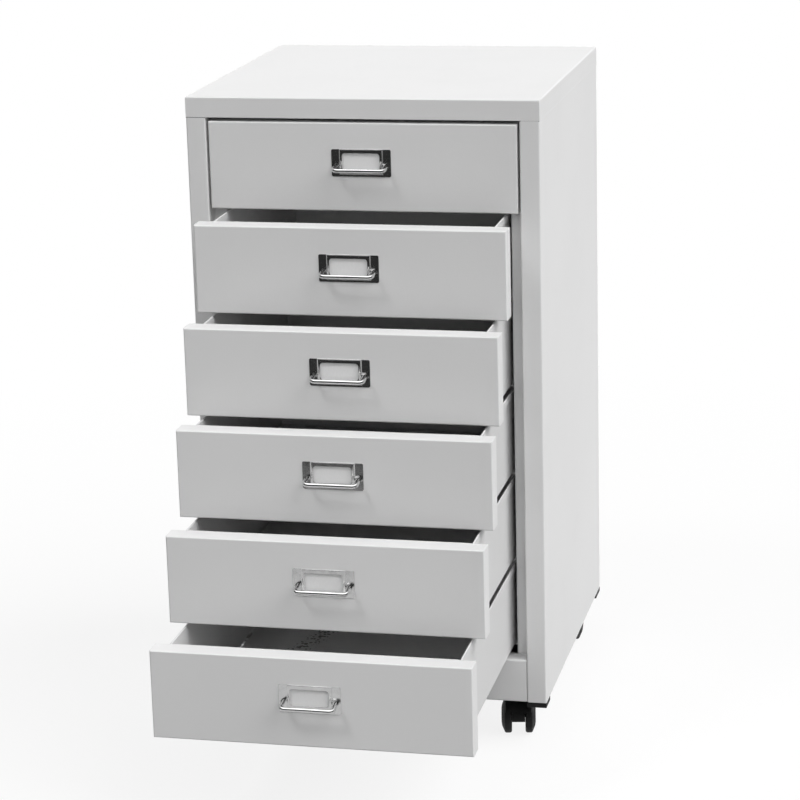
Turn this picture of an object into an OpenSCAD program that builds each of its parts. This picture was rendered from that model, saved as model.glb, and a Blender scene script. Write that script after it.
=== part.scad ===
// Mobile drawer cabinet: a folded sheet steel carcass with six drawers on four twin-wheel casters.
// Millimetres, +Z up, front towards -Y, standing on Z = 0.
// The drawers are drawn pulled out one further than the other, as a fan of steps.

/* [Cabinet] */
// Overall width of the carcass
cabinet_w = 380; // [340:1:420]
// Depth of the carcass from its front plane to its back
cabinet_d = 390; // [370:1:430]
// Thickness of the carcass sheet
sheet_t = 1; // [0.8:0.1:1.4]
// Outer radius of the carcass bends
bend_r = 1.8; // [1.6:0.1:3]
// Height of the front fascia and of the skirts of the top
fascia_h = 22; // [18:1:32]
// Height of the plinth under the lowest drawer
plinth_h = 49; // [40:1:70]
// Width of the front posts
post_w = 21.5; // [20:0.5:28]
// Width of the flange set back beside the drawer fronts
recess_w = 14; // [10:0.5:18]
// Depth from the front plane to that flange
recess_d = 22; // [18:0.5:28]
// Width of the lip that folds back along the flange
lip_w = 11; // [8:1:16]
// Width of the rear flanges that hold the back
rear_flange_w = 30; // [26:1:40]

/* [Drawers] */
// Height of a drawer front
front_h = 94; // [84:1:110]
// Gap above and below each drawer front
front_gap = 4; // [2:0.5:6]
// Gap between a drawer front and a post
front_side_gap = 2.5; // [1.5:0.5:5]
// Gap between a closed drawer front and the flange behind it
front_stop_gap = 0.5; // [0.3:0.1:1.5]
// Thickness of the tray sheet
tray_t = 0.8; // [0.6:0.1:1.2]
// Gap between a tray and the flange on either side
tray_side_gap = 4.5; // [3.5:0.5:8]
// Free height between one tray and the next
tray_gap = 6.5; // [4:0.5:10]
// Height of a tray's underside above the bottom of its front
tray_lift = 2.5; // [1:0.5:4]
// Free depth between a closed tray and the back
tray_back_gap = 38; // [20:1:60]
// Height of the folded-over hem on the tray's sides
hem_h = 7; // [5:0.5:12]
// Length of one slot in a fold line
slot_len = 22; // [14:1:30]
// Width of one slot in a fold line
slot_w = 2.6; // [1.5:0.1:3.5]
// Bridge of metal between two slots
slot_bridge = 7; // [5:1:14]
// How far the top drawer stands open
open_1 = 0; // [0:1:290]
// How far the second drawer stands open
open_2 = 68; // [0:1:290]
// How far the third drawer stands open
open_3 = 120; // [0:1:290]
// How far the fourth drawer stands open
open_4 = 162; // [0:1:290]
// How far the fifth drawer stands open
open_5 = 213; // [0:1:290]
// How far the bottom drawer stands open
open_6 = 284; // [0:1:290]

/* [Runners] */
// Thickness of the runner angles
runner_t = 1.2; // [1:0.1:2]
// Height of a runner's upright leg
runner_h = 25; // [20:1:40]
// Width of a runner's level leg
runner_w = 16; // [12:1:24]
// Running gap between a tray and its runner
runner_gap = 0.3; // [0.2:0.1:0.5]
// Length of the ear at a runner's rear end
ear_w = 16; // [14:1:20]

/* [Label holders] */
// Width of the label holder's plate
plate_w = 64; // [56:1:80]
// Height of the label holder's plate
plate_h = 29; // [27:1:40]
// Drop from the top of the drawer front to the plate
plate_drop = 27.8; // [15:0.1:40]
// Thickness of the plate
plate_t = 0.8; // [0.6:0.1:1.2]
// Height that the card pocket stands out from the plate
pocket_rise = 1.8; // [1.6:0.1:2.6]
// Width of the card pocket
pocket_w = 46.6; // [40:0.5:50]
// Height of the card pocket
pocket_h = 27; // [24:0.5:27.5]
// Width of the window in the pocket
window_w = 40.5; // [30:0.5:42]
// Height of the window in the pocket
window_h = 18; // [12:0.5:19]
// Corner radius of the window
window_r = 3.2; // [2:0.1:5]
// Height of the slope that closes the pocket's lower end
pocket_slope = 3; // [2:0.1:4]
// Diameter of the rolled edge along the top of the pocket
roll_d = 1.4; // [1:0.1:1.8]
// Thickness of the card
card_t = 0.4; // [0.3:0.1:0.8]
// Diameter of the pull's wire
wire_d = 4.6; // [3.4:0.1:5]
// Reach of the pull's bar in front of the drawer front, on the wire's middle line
pull_reach = 16; // [12:0.5:24]
// Slope of the pull below the level, in degrees
pull_angle = 11; // [5:1:20]
// Drop from the plate's top edge to the pull's feet
pull_drop = 17.5; // [12:0.5:20]
// Bend radius of the wire on its middle line
wire_bend = 4.5; // [4:0.5:6]

/* [Casters] */
// Height of the carcass above the floor
caster_h = 52.5; // [46:0.5:60]
// Diameter of a wheel
wheel_d = 40; // [36:1:42]
// Width of one wheel
wheel_w = 11.5; // [9:0.5:14]
// Distance of a front caster's stem from the cabinet's side
front_inset_x = 42; // [32:0.5:60]
// Distance of a front caster's stem from the front
front_inset_y = 59; // [56:1:80]
// Distance of a rear caster's stem from the cabinet's side
rear_inset_x = 34; // [32:0.5:60]
// Distance of a rear caster's stem from the back
rear_inset_y = 59; // [56:1:80]
// Offset of the wheels' axle from the stem
caster_trail = 16; // [14:1:18]
// How far the front casters are turned outward, in degrees
caster_turn_front = 10; // [-30:1:30]
// How far the rear casters are turned outward, in degrees
caster_turn_rear = 0; // [-30:1:30]
// Thickness of the hood's middle web
web_w = 14.4; // [13:0.2:18]
// Diameter of the axle
axle_d = 6; // [4:0.5:7]
// Diameter of the stem
stem_d = 8; // [6:0.5:8]

/* [Fittings] */
// Height of the plastic caps under the carcass corners
cap_h = 5.8; // [3:0.2:8]
// Depth of the front corner caps from front to back
cap_d = 24; // [22:1:29]
// Depth of the rear corner caps from front to back
rear_cap_d = 29; // [22:1:29]
// Diameter of the panel screws
screw_d = 4; // [3:0.5:5]
// Diameter of the panel screws' heads
screw_head_d = 8; // [6:0.5:10]
// Height of the panel screws' heads
screw_head_h = 1.6; // [1:0.1:2.5]

/* [Hidden] */
bend_steps = 4;                 // facets in each quarter bend
play = 0.05;                    // radial gap of a running fit
slack = 0.3;                    // gap between pieces that only stand side by side
hole_play = 0.1;                // radial gap of a screw hole
overlap = 0.5;                  // how far joined shapes run into each other
drawers = 6;
opened = [open_1, open_2, open_3, open_4, open_5, open_6];

half_w = cabinet_w / 2;
bend_in = bend_r - sheet_t;     // inner radius of the carcass bends
skin_x = half_w - sheet_t;      // inner face of a side
body_z = caster_h;
pitch = front_h + front_gap;
skirt_z = body_z + plinth_h + front_gap + drawers * pitch;
body_top = skirt_z + fascia_h;
post_x = half_w - post_w;       // inner cheek of a post
opening_x = post_x - recess_w;  // edge of the drawer opening
back_y = cabinet_d - sheet_t;   // outer face of the back panel
inner_y = back_y - sheet_t;     // inner face of the back panel
plinth_top = body_z + plinth_h;
flange_w = 20;                  // level flanges of the carcass
upstand_h = 15;                 // upright edges of the bottom panel
tongue_d = 45;                  // reach of the plinth's foot under the bottom panel
tongue_gap = 4.5;               // gap between that foot and the side lips
corner_notch = 30;              // what the level flanges leave free for the corner caps
cap_r = 1;                      // rounding of the corner caps' lower edges
spigot_h = 8;                   // height of a cap's spigot inside the carcass
screw_margin = 1;               // metal beyond a screw's head
flange_screw_inset = 70;        // from the front or the back to the first screw of a level flange
tongue_screw_inset = 5.5;       // from the rear edge of the plinth's foot to its screws

front_w = 2 * (post_x - front_side_gap);
front_d = recess_d - front_stop_gap;
front_lip = 12;                 // return edge round the rear of a drawer front
tray_w = 2 * (opening_x - tray_side_gap);
tray_h = pitch - tray_gap;
tray_len = inner_y - tray_back_gap - front_d;
tray_bend = 1.2 * tray_t;       // outer bend radius of the tray
hem_gap = 0.5 * tray_t;         // slit inside the folded-over hem
corner_gap = 1.2;               // open seam in a tray's corners
corner_tab = 16;                // tab that backs that seam
slot_edge = 1;                  // metal between a slot and the upright wall
slot_start = 28.5;              // first slot from the tray's end
stop_h = 30;                    // height of the lanced stop tabs
stop_back = 10;                 // their distance from the tray's rear end

pocket_bend = 1.3;              // outer bend radius of the card pocket
plate_r = 1.6;                  // corner radius of the plate
window_top = 3.8;               // metal above the window
pocket_x = pocket_w / 2;
card_gap = 0.3;                 // gap round the card in its pocket
feet_inset = 4.7;               // from the plate's sides to the middle of the pull's feet
feet_x = plate_w / 2 - feet_inset;
feet_run = 0.4;                 // bare wire in front of the pocket's face
rivet_d = 1.7 * wire_d;         // formed head behind the front
rivet_h = 1.2;
foot_y = plate_t + feet_run;    // where a foot turns down, in front of the drawer
leg_len = (pull_reach - foot_y - wire_bend * sin(pull_angle)) / cos(pull_angle) - wire_bend;

// Stems of the right-hand casters, front and rear.
stem_places = [[half_w - front_inset_x, front_inset_y], [half_w - rear_inset_x, cabinet_d - rear_inset_y]];

axle_z = wheel_d / 2;
wheel_gap = 0.3;                // gap between a wheel and the hood
wheel_in = web_w / 2 + wheel_gap;
wheel_out = wheel_in + wheel_w;
tyre_r = 2.4;                   // rounding of a wheel's tread edges
dome_drop = 3.2;                // how far a wheel's rim falls back at its outer face
dome_slope = 72;                // turn of the rim's rounding before the flatter dome, in degrees
rim_steps = 6;                  // facets in each rounding of wheel and guard
face_r = 0.4 * axle_z;          // radius of the flat middle of a wheel's outer face
fall_r = 0.6 * axle_z;          // radius at which the face begins to fall back
fall_rise = 0.2 * dome_drop;    // how far the face has fallen there
dome_wall = 2.2;                // material between the axle's end and the dome
axle_end = wheel_out - dome_wall;
guard_gap = 0.8;                // gap between the wheels and the hood's guard
guard_t = 2;
guard_inset = 1;                // from the wheels' rims in to the guard's edges
guard_x = wheel_out - dome_drop - guard_inset;
guard_floor = 30;               // height of the guard's lower edges
hood_floor = 19;                // free height under the hood's web, beside its hub
hub_d = 17;                     // hub of the web round the axle
web_inset = 1;                  // from the wheels' treads in to the web's edge
collar_h = 2;
collar_d = 16;
hood_top = body_z + sheet_t - collar_h - slack;
sleeve_d = web_w;
pin_len = 18;                   // stem inside the hood
thread_len = 12;                // stem above the bottom panel
nut_af = 13;                    // across the nut's flats
nut_h = 6.5;
boss_d = 20;
boss_foot_d = 18;
boss_h = 6;
pin_gap = 1;                    // free depth under the stem's end
head_taper = 0.7;               // crown of a screw's or rivet's head, as a share of its width

front_reach = pull_reach + wire_d / 2;
rear_end = cabinet_d + screw_head_h;
centre_y = (rear_end - max(opened) - front_reach) / 2;

// ---- Folded sheet: outlines that follow a path on the sheet's middle line ----

function left_of(v) = [-v.y, v.x];
function heading(a, b) = (b - a) / norm(b - a);
function turned(v, angle) = [v.x * cos(angle) - v.y * sin(angle), v.x * sin(angle) + v.y * cos(angle)];
function backwards(list) = [for (i = [len(list) - 1 : -1 : 0]) list[i]];

// Points of one bend at b between a and c, on the line that lies offset to the left of the path.
function bend_arc(a, b, c, offset, radius) =
    let (d0 = heading(a, b), d1 = heading(b, c), side = sign(cross(d0, d1)), angle = acos(d0 * d1))
    let (centre = b - d0 * radius * tan(angle / 2) + left_of(d0) * side * radius)
    [for (i = [0 : bend_steps])
        centre - turned(left_of(d0), side * angle * i / bend_steps) * side * (radius - side * offset)];

function side_line(path, offset, radius) =
    let (last = len(path) - 1)
    [path[0] + left_of(heading(path[0], path[1])) * offset,
     for (i = [1 : last - 1]) each bend_arc(path[i - 1], path[i], path[i + 1], offset, radius),
     path[last] + left_of(heading(path[last - 1], path[last])) * offset];

module folded(path, t, outer_r)
    polygon(concat(side_line(path, t / 2, outer_r - t / 2),
                   backwards(side_line(path, -t / 2, outer_r - t / 2))));

// Draws an outline in the YZ plane and runs it along X, centred.
module along_x(length) rotate([90, 0, 90]) linear_extrude(length, center = true) children();

// Draws an outline in the XZ plane and runs it along Y from one place to another.
module along_y(from, to) translate([0, to, 0]) rotate([90, 0, 0]) linear_extrude(to - from) children();

module box(low, high) translate(low) cube(high - low);

// A rectangle hanging below Y = 0 with its two upper corners rounded.
module top_rounded(w, h, r)
    polygon([[-w / 2, -h], [w / 2, -h],
             for (i = [0 : bend_steps]) [w / 2 - r, -r] + r * turned([1, 0], 90 * i / bend_steps),
             for (i = [0 : bend_steps]) [-w / 2 + r, -r] + r * turned([0, 1], 90 * i / bend_steps)]);

module rounded_block(w, l, h, r)
    intersection() {
        along_x(w) top_rounded(l, h, r);
        along_y(-l / 2, l / 2) top_rounded(w, h, r);
    }

// A shallow pan of sheet, face up at Z = 0, whose open side has return edges all round.
module pan(w, l, h, t, r, lip_x, lip_front, lip_back)
    difference() {
        rounded_block(w, l, h, r);
        translate([0, 0, -t]) rounded_block(w - 2 * t, l - 2 * t, h - 2 * t, r - t);
        box([-w / 2 + lip_x, -l / 2 + lip_front, -h - t], [w / 2 - lip_x, l / 2 - lip_back, -h / 2]);
    }

module rounded_rect(w, h, r)
    union() {
        square([w, h - 2 * r], center = true);
        square([w - 2 * r, h], center = true);
        for (x = [-1, 1], y = [-1, 1])
            translate([x * (w / 2 - r), y * (h / 2 - r)]) circle(r, $fn = 32);
    }

// Every piece is drawn from the cabinet's front plane, then moved to the origin between its ends.
module placed() translate([0, -centre_y, 0]) children();
module on_side(side) mirror([side < 0 ? 1 : 0, 0, 0]) children();

// ---- Carcass ----

function front_z(k) = skirt_z - front_gap - (k - 1) * pitch - front_h;
function tray_z(k) = front_z(k) + tray_lift;
function runner_z(k) = tray_z(k) - runner_gap - runner_t;
function ear_z(k) = runner_z(k) + runner_h / 2;

ear_x = opening_x + sheet_t;
screw_x = ear_x + ear_w - screw_head_d / 2 - screw_margin;
flange_screw_x = half_w - flange_w / 2;
flange_screw_y = [flange_screw_inset, cabinet_d - flange_screw_inset];
tongue_screw_x = 80;
tongue_screw_y = tongue_d - tongue_screw_inset;
bottom_y = recess_d + lip_w + sheet_t;

module screw_hole() cylinder(d = screw_d + 2 * hole_play, h = 8 * sheet_t, center = true, $fn = 24);

module back_screw_places()
    for (k = [1 : drawers]) translate([screw_x, back_y, ear_z(k)]) rotate([90, 0, 0]) children();

module flange_screw_places(z)
    for (y = flange_screw_y) translate([flange_screw_x, y, z]) children();

module side_panel(side)
    color("whitesmoke") placed() on_side(side) difference() {
        union() {
            translate([0, 0, body_z]) linear_extrude(skirt_z - body_z) folded([
                [opening_x + sheet_t / 2, recess_d + lip_w],
                [opening_x + sheet_t / 2, recess_d + sheet_t / 2],
                [post_x + sheet_t / 2, recess_d + sheet_t / 2],
                [post_x + sheet_t / 2, sheet_t / 2],
                [half_w - sheet_t / 2, sheet_t / 2],
                [half_w - sheet_t / 2, cabinet_d - sheet_t / 2],
                [half_w - rear_flange_w, cabinet_d - sheet_t / 2]], sheet_t, bend_r);
            box([half_w - flange_w, corner_notch, body_z],
                [skin_x + sheet_t / 2, cabinet_d - corner_notch, body_z + sheet_t]);
            box([half_w - flange_w, recess_d + 2 * lip_w, skirt_z - sheet_t],
                [skin_x + sheet_t / 2, cabinet_d - corner_notch, skirt_z]);
        }
        back_screw_places() screw_hole();
        flange_screw_places(body_z) screw_hole();
        flange_screw_places(skirt_z) screw_hole();
    }

module top_panel()
    color("white") placed() difference() {
        translate([0, cabinet_d / 2, body_top])
            pan(cabinet_w, cabinet_d, fascia_h, sheet_t, bend_r, flange_w, recess_d, flange_w);
        for (side = [-1, 1]) on_side(side) flange_screw_places(skirt_z) screw_hole();
    }

module back_panel()
    color("gainsboro") placed() difference() {
        union() {
            box([-skin_x + bend_in + slack, inner_y, body_z], [skin_x - bend_in - slack, back_y, skirt_z]);
            box([-opening_x, inner_y - upstand_h, skirt_z - sheet_t],
                [opening_x, inner_y + overlap, skirt_z]);
        }
        for (side = [-1, 1]) on_side(side) back_screw_places() screw_hole();
    }

// Upstand along one edge of the bottom panel.
module upstand(low, high)
    box([low.x, low.y, body_z + sheet_t], [high.x, high.y, body_z + sheet_t + upstand_h]);

module bottom_panel()
    color("gainsboro") placed() difference() {
        union() {
            box([-skin_x + slack, bottom_y, body_z + sheet_t],
                [skin_x - slack, inner_y, body_z + 2 * sheet_t]);
            upstand([-half_w + corner_notch, inner_y - sheet_t], [half_w - corner_notch, inner_y]);
            for (side = [-1, 1]) on_side(side)
                upstand([skin_x - slack - sheet_t, bottom_y], [skin_x - slack, cabinet_d - corner_notch]);
        }
        for (side = [-1, 1]) on_side(side) {
            box([half_w - corner_notch, cabinet_d - corner_notch, body_z],
                [half_w, cabinet_d, body_z + 3 * sheet_t]);
            flange_screw_places(body_z) screw_hole();
            translate([tongue_screw_x, tongue_screw_y, body_z]) screw_hole();
            for (stem = stem_places)
                translate([stem.x, stem.y, body_z])
                    cylinder(d = stem_d + 2 * hole_play, h = 4 * sheet_t, $fn = 32);
        }
    }

module front_plinth()
    color("white") placed() difference() {
        union() {
            along_x(2 * (post_x - slack)) folded([
                [recess_d - sheet_t / 2, body_z + upstand_h],
                [recess_d - sheet_t / 2, plinth_top - sheet_t / 2],
                [sheet_t / 2, plinth_top - sheet_t / 2],
                [sheet_t / 2, body_z + sheet_t / 2],
                [recess_d - sheet_t, body_z + sheet_t / 2]], sheet_t, 1.2 * bend_r);
            box([tongue_gap - opening_x, recess_d - 2 * sheet_t, body_z],
                [opening_x - tongue_gap, tongue_d, body_z + sheet_t]);
        }
        for (side = [-1, 1]) on_side(side) {
            translate([tongue_screw_x, tongue_screw_y, body_z]) screw_hole();
            box([post_x - bend_in - slack, recess_d - bend_in - slack, body_z - overlap],
                [post_x, recess_d + overlap, plinth_top + overlap]);
        }
    }

module runner(k)
    translate([0, 0, runner_z(k)]) {
        along_y(bottom_y, inner_y) folded([
            [ear_x + runner_t - runner_w, runner_t / 2],
            [ear_x + runner_t / 2, runner_t / 2],
            [ear_x + runner_t / 2, runner_h]], runner_t, 1.5 * runner_t);
        box([ear_x, recess_d + bend_r, 3 * runner_t], [ear_x + runner_t, bottom_y + overlap, runner_h]);
        box([ear_x, inner_y - runner_t, 3 * runner_t], [ear_x + ear_w, inner_y, runner_h]);
    }

module runners(side)
    color("silver") placed() on_side(side) difference() {
        for (k = [1 : drawers]) runner(k);
        back_screw_places() screw_hole();
    }

// A pan-head screw, head towards +Z, whose head seats at Z = 0.
module screw(grip)
    union() {
        translate([0, 0, -grip]) cylinder(d = screw_d, h = grip + screw_head_h / 2, $fn = 24);
        cylinder(d1 = screw_head_d, d2 = head_taper * screw_head_d, h = screw_head_h, $fn = 24);
    }

module panel_screws()
    color("silver") placed() for (side = [-1, 1]) on_side(side) {
        translate([0, sheet_t, 0]) back_screw_places() rotate([180, 0, 0]) screw(2 * sheet_t + 2 * runner_t);
        flange_screw_places(body_z) rotate([180, 0, 0]) screw(4 * sheet_t);
        flange_screw_places(skirt_z - sheet_t) rotate([180, 0, 0]) screw(4 * sheet_t);
        translate([tongue_screw_x, tongue_screw_y, body_z]) rotate([180, 0, 0]) screw(4 * sheet_t);
    }

// A flat plastic plug under one corner, with a spigot that stands inside the sheet.
module corner_cap(depth)
    union() {
        translate([half_w - post_w / 2, depth / 2, body_z - cap_h]) mirror([0, 0, 1])
            rounded_block(post_w, depth, cap_h, cap_r);
        box([post_x + 2 * sheet_t, 2 * sheet_t + slack, body_z - overlap],
            [skin_x - sheet_t, recess_d - 2 * sheet_t, body_z + spigot_h]);
    }

module corner_caps()
    color("black") placed() for (side = [-1, 1], rear = [0, 1]) on_side(side)
        translate([0, rear * cabinet_d, 0]) mirror([0, rear, 0])
            corner_cap(rear == 0 ? cap_d : rear_cap_d);

// ---- Drawers: drawn with the front's face at Y = 0 and moved out by their opening ----

module drawer_place(k, z) placed() translate([0, -opened[k - 1], z]) children();

module fold_slots(run)
    for (y = [slot_start : slot_len + slot_bridge : run - slot_start - slot_len])
        box([0, y, -tray_t], [slot_w, y + slot_len, 2 * tray_t]);

// End wall of a tray with the side walls' tabs that lap behind it; grows towards +Y.
module tray_end()
    union() {
        box([corner_gap - tray_w / 2 + tray_t, 0, 0], [tray_w / 2 - tray_t - corner_gap, tray_t, tray_h]);
        for (side = [-1, 1]) on_side(side)
            box([tray_w / 2 - corner_tab, tray_t, tray_t],
                [tray_w / 2 - tray_t / 2, 2 * tray_t, tray_h - tray_t]);
    }

module tray_shell() {
    wall_x = (tray_w - tray_t) / 2;
    hem_x = wall_x + tray_t + hem_gap;
    hem_top = tray_h - tray_t / 2;
    along_y(0, tray_len) folded([
        [hem_x, tray_h - hem_h], [hem_x, hem_top], [wall_x, hem_top], [wall_x, tray_t / 2],
        [-wall_x, tray_t / 2], [-wall_x, hem_top], [-hem_x, hem_top], [-hem_x, tray_h - hem_h]],
        tray_t, tray_bend);
    tray_end();
    translate([0, tray_len - 2 * tray_t, 0]) tray_end();
    for (side = [-1, 1]) on_side(side)
        box([wall_x, tray_len - stop_back, (tray_h - stop_h) / 2],
            [ear_x - slack, tray_len - stop_back + tray_t, (tray_h + stop_h) / 2]);
}

module drawer_tray(k)
    color("gainsboro") drawer_place(k, tray_z(k)) translate([0, front_d, 0]) difference() {
        tray_shell();
        for (side = [-1, 1]) on_side(side)
            translate([tray_w / 2 - tray_t - slot_edge - slot_w, 0, 0]) fold_slots(tray_len);
        translate([-tray_w / 2, tray_len - 2 * tray_t - slot_edge, 0])
            rotate([0, 0, -90]) fold_slots(tray_w);
    }

module feet_places(z)
    for (side = [-1, 1]) translate([side * feet_x, 0, z]) rotate([90, 0, 0]) children();

module wire_hole() cylinder(d = wire_d + 2 * hole_play, h = 4 * sheet_t, center = true, $fn = 32);

module drawer_front(k)
    color("white") drawer_place(k, front_z(k)) difference() {
        translate([0, 0, front_h / 2]) rotate([90, 0, 0])
            pan(front_w, front_h, front_d, sheet_t, bend_r, front_lip, front_lip, front_lip);
        feet_places(front_h - plate_drop - pull_drop) wire_hole();
    }

// Level of a holder's top edge.
function plate_z(k) = front_z(k) + front_h - plate_drop;

module plate_outline()
    along_y(-2 * (plate_t + pocket_rise), overlap)
        translate([0, -plate_h / 2]) rounded_rect(plate_w, plate_h, plate_r);

// Outlines in the YZ plane at the pocket's lower end: the sheet that slopes back to the plate,
// and the room below it that the pocket's face and cheeks leave free.
module pocket_foot()
    polygon([[-pocket_rise - plate_t, pocket_slope], [-plate_t, 0], [0, 0], [-pocket_rise, pocket_slope]]);

module below_foot()
    polygon([[-3 * pocket_rise, pocket_slope], [-pocket_rise - plate_t, pocket_slope],
             [-plate_t, 0], [-plate_t, -overlap], [-3 * pocket_rise, -overlap]]);

module pressed_plate()
    difference() {
        intersection() {
            union() {
                translate([0, 0, -pocket_h]) linear_extrude(pocket_h) folded([
                    [-plate_w / 2, -plate_t / 2],
                    [-pocket_x + plate_t / 2, -plate_t / 2],
                    [-pocket_x + plate_t / 2, -plate_t / 2 - pocket_rise],
                    [pocket_x - plate_t / 2, -plate_t / 2 - pocket_rise],
                    [pocket_x - plate_t / 2, -plate_t / 2],
                    [plate_w / 2, -plate_t / 2]], plate_t, pocket_bend);
                box([-plate_w / 2, -plate_t, -plate_h], [plate_w / 2, 0, -pocket_h]);
            }
            plate_outline();
        }
        translate([0, 0, -window_top - window_h / 2])
            along_y(-3 * pocket_rise, -pocket_rise / 2) rounded_rect(window_w, window_h, window_r);
        feet_places(-pull_drop) wire_hole();
        translate([0, 0, -pocket_h]) along_x(2 * pocket_x + plate_t) below_foot();
    }

module label_holder(k)
    color("silver") drawer_place(k, plate_z(k)) {
        pressed_plate();
        translate([0, 0, -pocket_h]) along_x(2 * pocket_x - plate_t) pocket_foot();
        translate([0, -pocket_rise - plate_t / 2, 0])
            along_x(2 * (pocket_x - pocket_bend)) circle(d = roll_d, $fn = 32);
    }

module card(k)
    color("ivory") drawer_place(k, plate_z(k))
        box([-pocket_x + plate_t + card_gap, -card_t, -pocket_h + plate_t + card_gap],
            [pocket_x - plate_t - card_gap, 0, -card_gap]);

// The wire is drawn from its foot onwards, running along +Z and bending towards +X.
module wire(length) cylinder(d = wire_d, h = length, $fn = 32);

module elbow(angle)
    translate([wire_bend, 0, 0]) rotate([90, 0, 0]) mirror([1, 0, 0])
        rotate_extrude(angle = angle, $fn = 48) translate([wire_bend, 0]) circle(d = wire_d, $fn = 32);

module after_elbow(angle)
    translate([wire_bend * (1 - cos(angle)), 0, wire_bend * sin(angle)]) rotate([0, angle, 0]) children();

// One side of the pull: the foot through the front, the sloping leg and half of the bar.
module half_pull()
    rotate([90, 0, 0]) {
        wire(sheet_t + foot_y);
        translate([0, 0, sheet_t + foot_y]) rotate([0, 0, -90]) {
            elbow(pull_angle);
            after_elbow(pull_angle) {
                wire(leg_len);
                translate([0, 0, leg_len]) rotate([0, 0, -90]) {
                    elbow(90);
                    after_elbow(90) wire(feet_x - wire_bend + overlap);
                }
            }
        }
    }

module pull(k)
    color("silver") drawer_place(k, plate_z(k) - pull_drop) for (side = [-1, 1]) on_side(side)
        translate([feet_x, sheet_t, 0]) {
            half_pull();
            translate([0, rivet_h, 0]) rotate([90, 0, 0])
                cylinder(d1 = head_taper * rivet_d, d2 = rivet_d, h = rivet_h, $fn = 32);
        }

// ---- Casters: drawn round the stem's axis at X = 0, Y = 0, wheels trailing towards -Y ----

// side is -1 on the left, end is 0 at the front and 1 at the rear.
module caster_place(side, end)
    placed() translate([side * stem_places[end].x, stem_places[end].y, 0])
        mirror([0, end, 0]) on_side(side)
            rotate([0, 0, end == 0 ? caster_turn_front : caster_turn_rear]) children();

module each_caster() for (side = [-1, 1], end = [0, 1]) caster_place(side, end) children();

module axle_line() translate([0, -caster_trail, axle_z]) rotate([0, 90, 0]) children();

module caster_stems()
    color("silver") each_caster() {
        translate([0, 0, hood_top + slack - pin_len])
            cylinder(d = stem_d, h = pin_len + overlap, $fn = 32);
        translate([0, 0, hood_top + slack]) cylinder(d = collar_d, h = collar_h, $fn = 48);
        translate([0, 0, body_z + sheet_t - overlap])
            cylinder(d = stem_d, h = thread_len + overlap, $fn = 32);
    }

module caster_nuts()
    color("gray") each_caster() translate([0, 0, body_z + 2 * sheet_t]) difference() {
        cylinder(d = nut_af / cos(30), h = nut_h, $fn = 6);
        translate([0, 0, -nut_h / 2]) cylinder(d = stem_d + 2 * play, h = 2 * nut_h, $fn = 32);
    }

// Half section of the guard over the wheels: radius along X, width along Y.
function guard_section() =
    let (inner = wheel_d / 2 + guard_gap, edge = [inner, guard_x - guard_t])
    [[inner, guard_x],
     for (i = [0 : rim_steps]) edge + guard_t * turned([0, 1], -90 * i / rim_steps),
     for (i = [0 : rim_steps]) [edge.x, -edge.y] + guard_t * turned([1, 0], -90 * i / rim_steps),
     [inner, -guard_x]];

module hood(side, end)
    color("black") caster_place(side, end) difference() {
        union() {
            intersection() {
                axle_line() cylinder(r = wheel_d / 2 - web_inset, h = web_w, center = true, $fn = 64);
                box([-web_w, -3 * wheel_d, hood_floor], [web_w, wheel_d, hood_top]);
            }
            intersection() {
                axle_line()
                    cylinder(r = wheel_d / 2 + guard_gap + guard_t / 2, h = web_w, center = true, $fn = 64);
                box([-web_w, -3 * wheel_d, guard_floor], [web_w, wheel_d, hood_top]);
            }
            axle_line() cylinder(d = hub_d, h = web_w, center = true, $fn = 64);
            translate([0, 0, hood_floor]) cylinder(d = sleeve_d, h = hood_top - hood_floor, $fn = 48);
            box([-web_w / 2, -caster_trail, hood_floor], [web_w / 2, 0, hood_top - boss_h / 2]);
            translate([0, 0, hood_top - boss_h])
                cylinder(d1 = boss_foot_d, d2 = boss_d, h = boss_h, $fn = 48);
            intersection() {
                axle_line() rotate_extrude($fn = 96) polygon(guard_section());
                box([-wheel_out, -3 * wheel_d, guard_floor], [wheel_out, wheel_d, hood_top]);
            }
        }
        translate([0, 0, hood_top + slack - pin_len - pin_gap])
            cylinder(d = stem_d + 2 * play, h = 2 * pin_len, $fn = 32);
        axle_line() cylinder(d = axle_d + 2 * play, h = 2 * web_w, center = true, $fn = 32);
    }

module axle(side, end)
    color("silver") caster_place(side, end)
        axle_line() cylinder(d = axle_d, h = 2 * axle_end, center = true, $fn = 32);

// Half section of a wheel: radius along X, width along Y.
function wheel_rim() =
    let (inner = [wheel_d / 2 - tyre_r, tyre_r], outer = [inner.x, wheel_w - tyre_r - dome_drop])
    [[axle_d / 2 + play, 0], [inner.x, 0],
    for (i = [0 : rim_steps]) inner + tyre_r * turned([0, -1], 90 * i / rim_steps),
    for (i = [0 : rim_steps]) outer + tyre_r * turned([1, 0], dome_slope * i / rim_steps),
    [fall_r, wheel_w - fall_rise], [face_r, wheel_w], [0, wheel_w],
    [0, axle_end - wheel_in + wheel_gap], [axle_d / 2 + play, axle_end - wheel_in + wheel_gap]];

module wheel(side, end, turn)
    color("black") caster_place(side, end) translate([0, -caster_trail, axle_z])
        mirror([turn < 0 ? 1 : 0, 0, 0]) translate([wheel_in, 0, 0]) rotate([0, 90, 0])
            rotate_extrude($fn = 96) polygon(wheel_rim());

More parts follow.
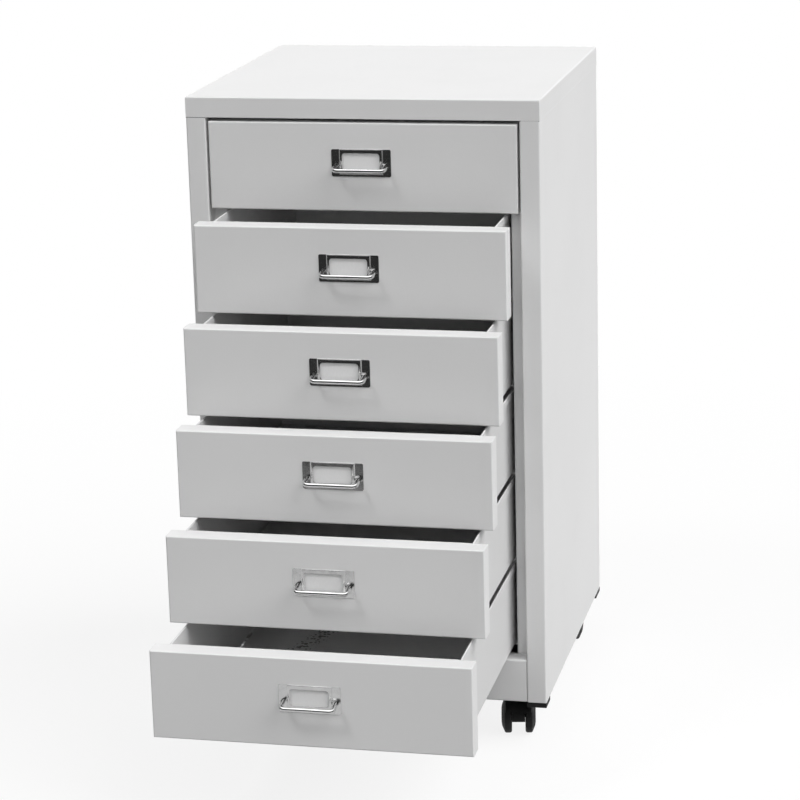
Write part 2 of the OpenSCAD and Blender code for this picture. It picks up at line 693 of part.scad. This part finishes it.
top_panel();
side_panel(-1);  // left_side_panel
side_panel(1);  // right_side_panel
back_panel();
bottom_panel();
front_plinth();
runners(-1);  // left_runners
runners(1);  // right_runners
panel_screws();
corner_caps();
caster_stems();
caster_nuts();
drawer_tray(1);  // drawer_1_tray
drawer_front(1);  // drawer_1_front
label_holder(1);  // drawer_1_label_holder
card(1);  // drawer_1_card
pull(1);  // drawer_1_pull
drawer_tray(2);  // drawer_2_tray
drawer_front(2);  // drawer_2_front
label_holder(2);  // drawer_2_label_holder
card(2);  // drawer_2_card
pull(2);  // drawer_2_pull
drawer_tray(3);  // drawer_3_tray
drawer_front(3);  // drawer_3_front
label_holder(3);  // drawer_3_label_holder
card(3);  // drawer_3_card
pull(3);  // drawer_3_pull
drawer_tray(4);  // drawer_4_tray
drawer_front(4);  // drawer_4_front
label_holder(4);  // drawer_4_label_holder
card(4);  // drawer_4_card
pull(4);  // drawer_4_pull
drawer_tray(5);  // drawer_5_tray
drawer_front(5);  // drawer_5_front
label_holder(5);  // drawer_5_label_holder
card(5);  // drawer_5_card
pull(5);  // drawer_5_pull
drawer_tray(6);  // drawer_6_tray
drawer_front(6);  // drawer_6_front
label_holder(6);  // drawer_6_label_holder
card(6);  // drawer_6_card
pull(6);  // drawer_6_pull
hood(-1, 0);  // front_left_hood
axle(-1, 0);  // front_left_axle
wheel(-1, 0, 1);  // front_left_outer_wheel
wheel(-1, 0, -1);  // front_left_inner_wheel
hood(1, 0);  // front_right_hood
axle(1, 0);  // front_right_axle
wheel(1, 0, 1);  // front_right_outer_wheel
wheel(1, 0, -1);  // front_right_inner_wheel
hood(-1, 1);  // rear_left_hood
axle(-1, 1);  // rear_left_axle
wheel(-1, 1, 1);  // rear_left_outer_wheel
wheel(-1, 1, -1);  // rear_left_inner_wheel
hood(1, 1);  // rear_right_hood
axle(1, 1);  // rear_right_axle
wheel(1, 1, 1);  // rear_right_outer_wheel
wheel(1, 1, -1);  // rear_right_inner_wheel
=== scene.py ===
"""Looks of the mobile drawer cabinet: finishes, rounded edges, fine pieces, camera and studio.

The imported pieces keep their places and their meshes. Lengths are in metres, and names that end
in _MM are in millimetres.
"""

import math

import bmesh
import bpy
from mathutils import Matrix, Vector

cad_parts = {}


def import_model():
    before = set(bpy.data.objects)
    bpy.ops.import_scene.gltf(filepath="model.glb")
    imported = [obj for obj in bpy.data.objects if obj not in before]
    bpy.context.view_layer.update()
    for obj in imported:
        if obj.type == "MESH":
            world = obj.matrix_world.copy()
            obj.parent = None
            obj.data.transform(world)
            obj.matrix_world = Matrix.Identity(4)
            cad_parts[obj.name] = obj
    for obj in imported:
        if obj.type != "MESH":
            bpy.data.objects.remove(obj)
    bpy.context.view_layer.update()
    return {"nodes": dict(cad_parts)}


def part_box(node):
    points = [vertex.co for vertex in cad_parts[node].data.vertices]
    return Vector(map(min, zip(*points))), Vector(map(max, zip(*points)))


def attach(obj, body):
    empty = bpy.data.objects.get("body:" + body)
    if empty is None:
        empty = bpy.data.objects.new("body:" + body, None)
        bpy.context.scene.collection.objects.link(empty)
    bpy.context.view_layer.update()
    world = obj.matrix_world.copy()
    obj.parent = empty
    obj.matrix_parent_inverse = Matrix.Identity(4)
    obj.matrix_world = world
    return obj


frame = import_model()
nodes = frame["nodes"]

MM = 0.001


def grey(level):
    """A neutral colour, as bright as level in each of its channels."""
    return (level, level, level, 1.0)


def add_object(name, data):
    """A new object in the scene for a mesh, a lamp or a camera."""
    obj = bpy.data.objects.new(name, data)
    bpy.context.scene.collection.objects.link(obj)
    return obj


# ---- Node trees ----

# Places of a Mix node's sockets, since those for numbers and colours share their names.
MIX_SHARE = 0
MIX_NUMBERS = (2, 3)
MIX_NUMBER_RESULT = 0
MIX_COLOURS = (6, 7)
MIX_COLOUR_RESULT = 2


class Nodes:
    """A node tree, with short calls for the nodes that it needs."""

    def __init__(self, tree):
        self.tree = tree

    def node(self, kind, **settings):
        """A new node of that kind, with these settings."""
        made = self.tree.nodes.new(kind)
        for key, value in settings.items():
            setattr(made, key, value)
        return made

    def link(self, source, target):
        """Links an output to the target socket, or sets a plain value on it."""
        if hasattr(source, "is_output"):
            self.tree.links.new(source, target)
        else:
            target.default_value = source

    def link_all(self, sources, targets):
        """Links each source, in turn, to its target socket."""
        for source, target in zip(sources, targets):
            self.link(source, target)

    def math(self, operation, a, b=0.0):
        """The result of that operation on one or two numbers."""
        made = self.node("ShaderNodeMath", operation=operation)
        self.link_all((a, b), made.inputs[:2])
        return made.outputs[0]

    def span(self, value, low, high, to_low=0.0, to_high=1.0):
        """The value moved from the range low to high into the new range, and held inside it."""
        made = self.node("ShaderNodeMapRange")
        ends = {"Value": value, "From Min": low, "From Max": high,
                "To Min": to_low, "To Max": to_high}
        for key, source in ends.items():
            self.link(source, made.inputs[key])
        return made.outputs["Result"]

    def mix(self, share, a, b):
        """Colour a where share is 0, and colour b where it is 1."""
        made = self.node("ShaderNodeMix", data_type="RGBA")
        self.link_all((share, a, b), [made.inputs[at] for at in (MIX_SHARE, *MIX_COLOURS)])
        return made.outputs[MIX_COLOUR_RESULT]

    def pick(self, share, a, b):
        """Number a where share is 0, and number b where it is 1."""
        made = self.node("ShaderNodeMix", data_type="FLOAT")
        self.link_all((share, a, b), [made.inputs[at] for at in (MIX_SHARE, *MIX_NUMBERS)])
        return made.outputs[MIX_NUMBER_RESULT]

    def mix_surfaces(self, share, a, b):
        """Surface a where share is 0, and surface b where it is 1."""
        made = self.node("ShaderNodeMixShader")
        self.link_all((share, a, b), made.inputs)
        return made.outputs[0]

    def emission(self, strength):
        """A surface that shines white by itself."""
        made = self.node("ShaderNodeEmission")
        self.link(strength, made.inputs["Strength"])
        return made.outputs[0]

    def axes(self, vector):
        """The vector's X, Y and Z."""
        made = self.node("ShaderNodeSeparateXYZ")
        self.link(vector, made.inputs[0])
        return made.outputs


class Shader(Nodes):
    """A new material with a principled surface, and patterns laid out in the object's own space."""

    def __init__(self, name):
        self.material = bpy.data.materials.new(name)
        self.material.use_nodes = True
        super().__init__(self.material.node_tree)
        self.surface = self.tree.nodes["Principled BSDF"]
        self.output = self.tree.nodes["Material Output"]
        self.place = self.node("ShaderNodeTexCoord").outputs["Object"]

    def set(self, **sockets):
        """Links or sets sockets of the principled surface, with _ for each space in their names."""
        for key, value in sockets.items():
            self.link(value, self.surface.inputs[key.replace("_", " ")])

    def stretched(self, scale):
        """The object's space with its coordinates multiplied by scale."""
        mapping = self.node("ShaderNodeMapping")
        self.link(self.place, mapping.inputs["Vector"])
        mapping.inputs["Scale"].default_value = scale
        return mapping.outputs["Vector"]

    def noise(self, size, detail, rough=0.5, place=None):
        """Noise whose features are about size across."""
        made = self.node("ShaderNodeTexNoise")
        self.link(place or self.place, made.inputs["Vector"])
        made.inputs["Scale"].default_value = 1.0 / size
        made.inputs["Detail"].default_value = detail
        made.inputs["Roughness"].default_value = rough
        return made.outputs["Fac"]

    def spots(self, size):
        """Distance, in sizes, from the nearest of many points, which lie about size apart."""
        made = self.node("ShaderNodeTexVoronoi")
        self.link(self.place, made.inputs["Vector"])
        made.inputs["Scale"].default_value = 1.0 / size
        return made.outputs["Distance"]

    def bump(self, height, distance, over=None):
        """A normal tilted by a relief as deep as distance, laid over another normal."""
        made = self.node("ShaderNodeBump")
        self.link(height, made.inputs["Height"])
        made.inputs["Distance"].default_value = distance
        if over is not None:
            self.link(over, made.inputs["Normal"])
        return made.outputs["Normal"]


# ---- Powder coat ----

CLOUD_SIZE = 0.22
CLOUD_TONES = (0.985, 1.01)     # shares of the paint's level
MOTTLE_SIZE = 0.0011
MOTTLE_TONE = 0.93              # share of the paint's level
MOTTLE_SHARE = 0.10
MARK_SIZE = 0.035
MARK_ROUGHNESS = 0.07           # what a handling mark adds
PEEL_SIZE = 0.0019
PEEL_HEIGHT = 0.00006
WAVE_SIZE = 0.19
PAINT_IOR = 1.5

CARCASS_COAT = {"level": 0.82, "rough": 0.40, "wave_height": 0.0012}
TRAY_COAT = {"level": 0.72, "rough": 0.46, "wave_height": 0.0008}

SPECKED_NODE = "drawer_6_tray"
SPECK_SIZE = 0.0042
SPECK_LEVEL = 0.25
SPECK_REACH = 0.52              # reach of a speck in the middle of the patch, in speck sizes
PATCH_PLACE = (-0.074, -0.042, 0.0)
PATCH_TURN = (0.0, 0.0, math.radians(-18))
PATCH_HALF = (0.020, 0.050, 1.0)    # half its width and length, and a height that plays no part
PATCH_FADE = 0.9                # share of the half length from which the specks fade out


def specked(s, tone):
    """Dark specks on the coat, thick along the middle of the patch and gone at its edges."""
    mapping = s.node("ShaderNodeMapping", vector_type="TEXTURE")
    s.link(s.place, mapping.inputs["Vector"])
    mapping.inputs["Location"].default_value = PATCH_PLACE
    mapping.inputs["Rotation"].default_value = PATCH_TURN
    mapping.inputs["Scale"].default_value = PATCH_HALF
    patch = s.axes(mapping.outputs["Vector"])
    across = s.span(s.math("ABSOLUTE", patch["X"]), 0.0, 1.0, SPECK_REACH, 0.0)
    along = s.span(s.math("ABSOLUTE", patch["Y"]), PATCH_FADE, 1.0, 1.0, 0.0)
    reach = s.math("MULTIPLY", across, along)
    speck = s.math("LESS_THAN", s.spots(SPECK_SIZE), reach)
    return s.mix(speck, tone, grey(SPECK_LEVEL))


def painted(name, level, rough, wave_height, has_specks=False):
    """Powder coat: orange peel on sheet that isn't quite flat, mottling and handling marks."""
    s = Shader(name)
    cloud = s.span(s.noise(CLOUD_SIZE, detail=2.0), low=0.35, high=0.65)
    mottle = s.span(s.noise(MOTTLE_SIZE, detail=2.0), low=0.30, high=0.70)
    tone = s.mix(cloud, *(grey(level * share) for share in CLOUD_TONES))
    tone = s.mix(s.math("MULTIPLY", mottle, MOTTLE_SHARE), tone, grey(level * MOTTLE_TONE))
    if has_specks:
        tone = specked(s, tone)
    marks = s.span(s.noise(MARK_SIZE, detail=4.0, rough=0.6), low=0.52, high=0.72)
    dull = s.math("ADD", s.math("MULTIPLY", marks, MARK_ROUGHNESS), rough)
    peel = s.bump(s.noise(PEEL_SIZE, detail=2.0, rough=0.4), PEEL_HEIGHT)
    wave = s.bump(s.noise(WAVE_SIZE, detail=1.0), wave_height, over=peel)
    s.set(Base_Color=tone, Roughness=dull, Normal=wave, IOR=PAINT_IOR)
    return s.material


# ---- Metal ----

HAZE_SIZE = 0.012
HAZE_TONE = 0.90                # share of the metal's level
WEAR_SIZE = 0.006
WEAR_ROUGHNESS = 0.10           # what wear adds
LINE_HEIGHT = 0.000012


def plated(name, level, rough, line_size, stretch):
    """Plated metal with a soft haze, uneven shine and hair-fine lines."""
    s = Shader(name)
    haze = s.span(s.noise(HAZE_SIZE, detail=4.0), low=0.35, high=0.70)
    tone = s.mix(haze, grey(level), grey(level * HAZE_TONE))
    wear = s.noise(WEAR_SIZE, detail=5.0, rough=0.6)
    dull = s.span(wear, low=0.3, high=0.75, to_low=rough, to_high=rough + WEAR_ROUGHNESS)
    lines = s.noise(line_size, detail=3.0, place=s.stretched(stretch))
    s.set(Base_Color=tone, Metallic=1.0, Roughness=dull, Normal=s.bump(lines, LINE_HEIGHT))
    return s.material


# ---- Plastic ----

DUST_SIZE = 0.011
DUST_LEVEL = 0.20
RUB_SIZE = 0.004
RUB_ROUGHNESS = 0.16            # what rubbed places add
GRAIN_SIZE = 0.0005
GRAIN_HEIGHT = 0.00005
PLASTIC_SPECULAR = 0.25


def moulded(name, level, rough, dust):
    """Moulded plastic with a fine eroded grain, and dust that gathers in cloudy patches."""
    s = Shader(name)
    cloud = s.noise(DUST_SIZE, detail=5.0, rough=0.65)
    tone = s.mix(s.span(cloud, low=0.50, high=0.74, to_high=dust), grey(level), grey(DUST_LEVEL))
    rubbed = s.noise(RUB_SIZE, detail=4.0)
    dull = s.span(rubbed, low=0.3, high=0.7, to_low=rough, to_high=rough + RUB_ROUGHNESS)
    grain = s.bump(s.noise(GRAIN_SIZE, detail=2.0), GRAIN_HEIGHT)
    s.set(Base_Color=tone, Roughness=dull, Normal=grain, Specular_IOR_Level=PLASTIC_SPECULAR)
    return s.material


# ---- Card ----

FIBRE_SIZE = 0.0014
FIBRE_STRETCH = (1.0, 1.0, 0.35)
FIBRE_TONE = 0.965              # share of the card's level
FIBRE_HEIGHT = 0.00003
CARD_ROUGHNESS = 0.86


def paper(name, level):
    """Matt card with fibres that run upright."""
    s = Shader(name)
    fibre = s.noise(FIBRE_SIZE, detail=6.0, rough=0.7, place=s.stretched(FIBRE_STRETCH))
    tone = s.mix(s.span(fibre, low=0.35, high=0.65), grey(level * FIBRE_TONE), grey(level))
    s.set(Base_Color=tone, Roughness=CARD_ROUGHNESS, Normal=s.bump(fibre, FIBRE_HEIGHT))
    return s.material


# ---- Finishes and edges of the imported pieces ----

LEVEL_LINES = (1.0, 1.0, 9.0)
EVEN_GRAIN = (1.0, 1.0, 1.0)

LOOK = {
    "white_paint": painted("powder_coat", **CARCASS_COAT),
    "tray_paint": painted("tray_coat", **TRAY_COAT),
    "chrome": plated("bright_nickel", level=0.80, rough=0.10, line_size=0.0008,
                     stretch=LEVEL_LINES),
    "card": paper("label_card", level=0.90),
    "black_plastic": moulded("black_nylon", level=0.008, rough=0.44, dust=0.03),
    "wheel_plastic": moulded("wheel_nylon", level=0.010, rough=0.50, dust=0.06),
    "plated_steel": plated("zinc_plate", level=0.62, rough=0.30, line_size=0.002,
                           stretch=EVEN_GRAIN),
}

# Width of the rounded edges of each finish.
EDGE_MM = {"white_paint": 0.28, "tray_paint": 0.18, "chrome": 0.30, "card": 0.05,
           "black_plastic": 0.35, "wheel_plastic": 0.25, "plated_steel": 0.15}
EDGE_SEGMENTS = 2
EDGE_ANGLE = math.radians(40)
WELD_REACH = 0.000002
FLAT_FACE_WEIGHT = 100


def soften(obj, width):
    """Rounds the sharp edges of a piece and shades its flat faces flat."""
    weld = obj.modifiers.new("weld", "WELD")
    weld.merge_threshold = WELD_REACH
    bevel = obj.modifiers.new("edges", "BEVEL")
    bevel.width = width
    bevel.segments = EDGE_SEGMENTS
    bevel.limit_method = "ANGLE"
    bevel.angle_limit = EDGE_ANGLE
    bevel.use_clamp_overlap = True
    flat = obj.modifiers.new("flat faces", "WEIGHTED_NORMAL")
    flat.weight = FLAT_FACE_WEIGHT
    flat.keep_sharp = False


def dress(name, obj, specked_coat):
    """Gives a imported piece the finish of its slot, which its packed material is named after."""
    slot = obj.data.materials[0].name.split(".")[0]
    finish = specked_coat if name == SPECKED_NODE else LOOK[slot]
    for place in obj.material_slots:
        place.material = finish
    soften(obj, EDGE_MM[slot] * MM)


def dress_all():
    """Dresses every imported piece."""
    specked_coat = painted("marked_tray_coat", **TRAY_COAT, has_specks=True)
    for name, obj in nodes.items():
        dress(name, obj, specked_coat)


# ---- Fine pieces ----

# Width of a post's front face, as in the part's source.
POST_WIDTH = 0.0215
# From a post's sides to the ends of the black strip that paints the shade in its joint.
JOINT_SHADE_INSET = 0.0003
JOINT_SHADE_DEPTH = 0.0006
# Half the height of the painted shade strip.
JOINT_SHADE_HALF = 0.00032
# How far the painted shade strip lies behind the front of the top; less of it shows on the right.
JOINT_SHADE_RECESS = {"left": 0.00001, "right": 0.00009}


def block(name, low, high):
    """A box from its lowest to its highest corner."""
    mesh = bpy.data.meshes.new(name)
    shape = bmesh.new()
    bmesh.ops.create_cube(shape, size=1.0)
    for vertex in shape.verts:
        vertex.co = [(a + b) / 2 + c * (b - a) for a, b, c in zip(low, high, vertex.co)]
    shape.to_mesh(mesh)
    shape.free()
    return add_object(name, mesh)


def joint_shade_strip(side, start, end):
    """A black strip that paints the shade in the gap between the top and a front post, set in the
    groove of their rounded edges.

    The post reaches from start to end along X.
    """
    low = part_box("top_panel")[0]
    front = low.y + JOINT_SHADE_RECESS[side]
    shade_strip = block(side + "_joint_shade_strip",
                 (start + JOINT_SHADE_INSET, front, low.z - JOINT_SHADE_HALF),
                 (end - JOINT_SHADE_INSET, front + JOINT_SHADE_DEPTH, low.z + JOINT_SHADE_HALF))
    # Black, so that the strip paints the shade inside the joint.
    shade_strip.data.materials.append(LOOK["black_plastic"])
    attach(shade_strip, "cabinet")


def joint_shade_strips():
    """The painted shade strips in the joints over both posts."""
    low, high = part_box("top_panel")
    joint_shade_strip("left", low.x, low.x + POST_WIDTH)
    joint_shade_strip("right", high.x - POST_WIDTH, high.x)


# ---- Camera ----

# Lens, place and angles are fitted to the edges of the cabinet in the photograph.
LENS_MM = 122.244
SENSOR_MM = 36.0
EYE = (0.665686, -2.778403, 1.159101)
HEADING = math.radians(12.993565)
TILT = math.radians(74.682289)
ROLL = math.radians(-1.519716)
CLIP_START = 0.05
CLIP_END = 200.0


def camera():
    """The photograph's camera: rolled about its axis, tilted up from straight down, then turned."""
    lens = bpy.data.cameras.new("camera")
    lens.lens = LENS_MM
    lens.sensor_width = SENSOR_MM
    lens.clip_start = CLIP_START
    lens.clip_end = CLIP_END
    obj = add_object("camera", lens)
    aim = (Matrix.Rotation(HEADING, 4, "Z") @ Matrix.Rotation(TILT, 4, "X")
           @ Matrix.Rotation(ROLL, 4, "Z"))
    obj.matrix_world = Matrix.Translation(EYE) @ aim
    bpy.context.scene.camera = obj


# ---- Floor and world ----

FLOOR_HALF = 14.0
FLOOR_ROUGHNESS = 0.9
FLOOR_SPECULAR = 0.1
# The floor's own tone, which sets how much light it throws back on the cabinet.
FLOOR_LEVEL = 0.25
FLOOR_CLOUD_SIZE = 0.5
FLOOR_CLOUD_DEPTH = 0.01        # how much darker the clouds are
# The camera sees white, with this share of a pale floor's real shading up to the first
# distance from the origin, and none of it beyond the second.
SHOWN_LEVEL = 0.95
SHADOW_SHARE = 0.15
SHADOW_ENDS = (0.5, 1.6)
# Brightness of what is mirrored: the floor beside the cabinet, the floor and room behind it,
# the room in front, and the ceiling. The floor is bright up to LIT_REACH in front.
FLOOR_GLOSS = 0.60
BACK_GLOSS = 0.95
FAR_GLOSS = 0.03
CEILING_GLOSS = 2.00
LIT_REACH = 1.03
LIT_FADE = 0.3
BACK_RISE = (-0.3, 0.6)
# The world lights nothing by itself.
SKY = 0.0
# Upward and backward parts of a direction between which ceiling and backdrop fade in.
CEILING_RISE = (0.62, 0.85)
BACKDROP_RISE = (0.0, 0.35)


def shown_floor(s):
    """What the camera sees: white, with a soft shadow near the cabinet."""
    reach = s.node("ShaderNodeVectorMath", operation="LENGTH")
    s.link(s.place, reach.inputs[0])
    shading = s.span(reach.outputs["Value"], *SHADOW_ENDS, SHADOW_SHARE, 0.0)
    pale = s.node("ShaderNodeBsdfDiffuse")
    pale.inputs["Color"].default_value = grey(SHOWN_LEVEL)
    return s.mix_surfaces(shading, s.emission(1.0), pale.outputs[0])


def mirrored_floor(s):
    """What paint and metal mirror: bright beside and behind the cabinet, dark far in front."""
    depth = s.axes(s.place)["Y"]
    lit = s.span(depth, -LIT_REACH - LIT_FADE, -LIT_REACH, FAR_GLOSS, FLOOR_GLOSS)
    back = s.span(depth, *BACK_RISE, 0.0, BACK_GLOSS - FLOOR_GLOSS)
    return s.emission(s.math("ADD", lit, back))


def floor():
    """A plain floor, with a face each for the camera, for mirrors and for the light it bounces."""
    mesh = bpy.data.meshes.new("floor")
    corners = [(x * FLOOR_HALF, y * FLOOR_HALF, 0) for x, y in ((-1, -1), (1, -1), (1, 1), (-1, 1))]
    mesh.from_pydata(corners, [], [(0, 1, 2, 3)])
    obj = add_object("floor", mesh)
    s = Shader("studio_floor")
    tone = s.mix(s.noise(FLOOR_CLOUD_SIZE, detail=3.0), grey(FLOOR_LEVEL - FLOOR_CLOUD_DEPTH),
                 grey(FLOOR_LEVEL))
    s.set(Base_Color=tone, Roughness=FLOOR_ROUGHNESS, Specular_IOR_Level=FLOOR_SPECULAR)
    ray = s.node("ShaderNodeLightPath").outputs
    seen = s.math("ADD", ray["Is Camera Ray"], ray["Is Transmission Ray"])
    lit = s.mix_surfaces(ray["Is Glossy Ray"], s.surface.outputs[0], mirrored_floor(s))
    final = s.mix_surfaces(seen, lit, shown_floor(s))
    s.link(final, s.output.inputs["Surface"])
    mesh.materials.append(s.material)


def world():
    """White for the camera. Paint and metal mirror a bright ceiling and backdrop in a dark room."""
    sky = bpy.data.worlds.new("studio")
    sky.use_nodes = True
    bpy.context.scene.world = sky
    room = Nodes(sky.node_tree)
    towards = room.axes(room.node("ShaderNodeTexCoord").outputs["Generated"])
    ceiling = room.span(towards["Z"], *CEILING_RISE, FAR_GLOSS, CEILING_GLOSS)
    backdrop = room.span(towards["Y"], *BACKDROP_RISE, FAR_GLOSS, BACK_GLOSS)
    mirrored = room.math("MAXIMUM", ceiling, backdrop)
    ray = room.node("ShaderNodeLightPath").outputs
    level = room.pick(ray["Is Glossy Ray"], SKY, mirrored)
    level = room.pick(ray["Is Transmission Ray"], level, 1.0)
    level = room.pick(ray["Is Camera Ray"], level, 1.0)
    background = room.tree.nodes["Background"]
    background.inputs["Color"].default_value = grey(1.0)
    room.link(level, background.inputs["Strength"])


# ---- Lamps ----

# Name, strength, direction it shines from, its width in degrees, and whether paint and metal
# mirror it.
SUNS = [("upper_left", 0.66, (-0.41, -0.46, 0.78), 14.0, False),
        ("right", 2.86, (1.0, -0.2, 1.0), 55.0, False),
        ("behind", 0.16, (0.0, 1.0, 1.0), 40.0, True),
        ("behind_left", 2.10, (-0.8, 0.9, 0.0), 15.0, False),
        ("front", 0.56, (0.30, -1.0, 0.45), 36.0, False)]

SOFTBOX_POWER = 3.1
SOFTBOX_WIDTH = 1.5
SOFTBOX_PLACE = Vector((0.0, -1.4, 2.0))
SOFTBOX_AIM = Vector((0.0, -0.1, 0.4))


def sun(name, strength, source, width, is_mirrored):
    """A lamp far away, whose light comes from the direction of source."""
    lamp = bpy.data.lights.new(name, "SUN")
    lamp.energy = strength
    lamp.angle = math.radians(width)
    obj = add_object(name, lamp)
    obj.rotation_mode = "QUATERNION"
    obj.rotation_quaternion = Vector(source).to_track_quat("Z", "Y")
    obj.visible_glossy = is_mirrored


def softbox():
    """A soft square lamp over the front, which nothing mirrors."""
    lamp = bpy.data.lights.new("front_softbox", "AREA")
    lamp.energy = SOFTBOX_POWER
    lamp.size = SOFTBOX_WIDTH
    obj = add_object("front_softbox", lamp)
    turn = (SOFTBOX_PLACE - SOFTBOX_AIM).to_track_quat("Z", "Y")
    obj.matrix_world = Matrix.Translation(SOFTBOX_PLACE) @ turn.to_matrix().to_4x4()
    obj.visible_glossy = False


dress_all()
joint_shade_strips()
camera()
floor()
world()
for lamp in SUNS:
    sun(*lamp)
softbox()

bpy.context.scene.view_settings.view_transform = "Standard"
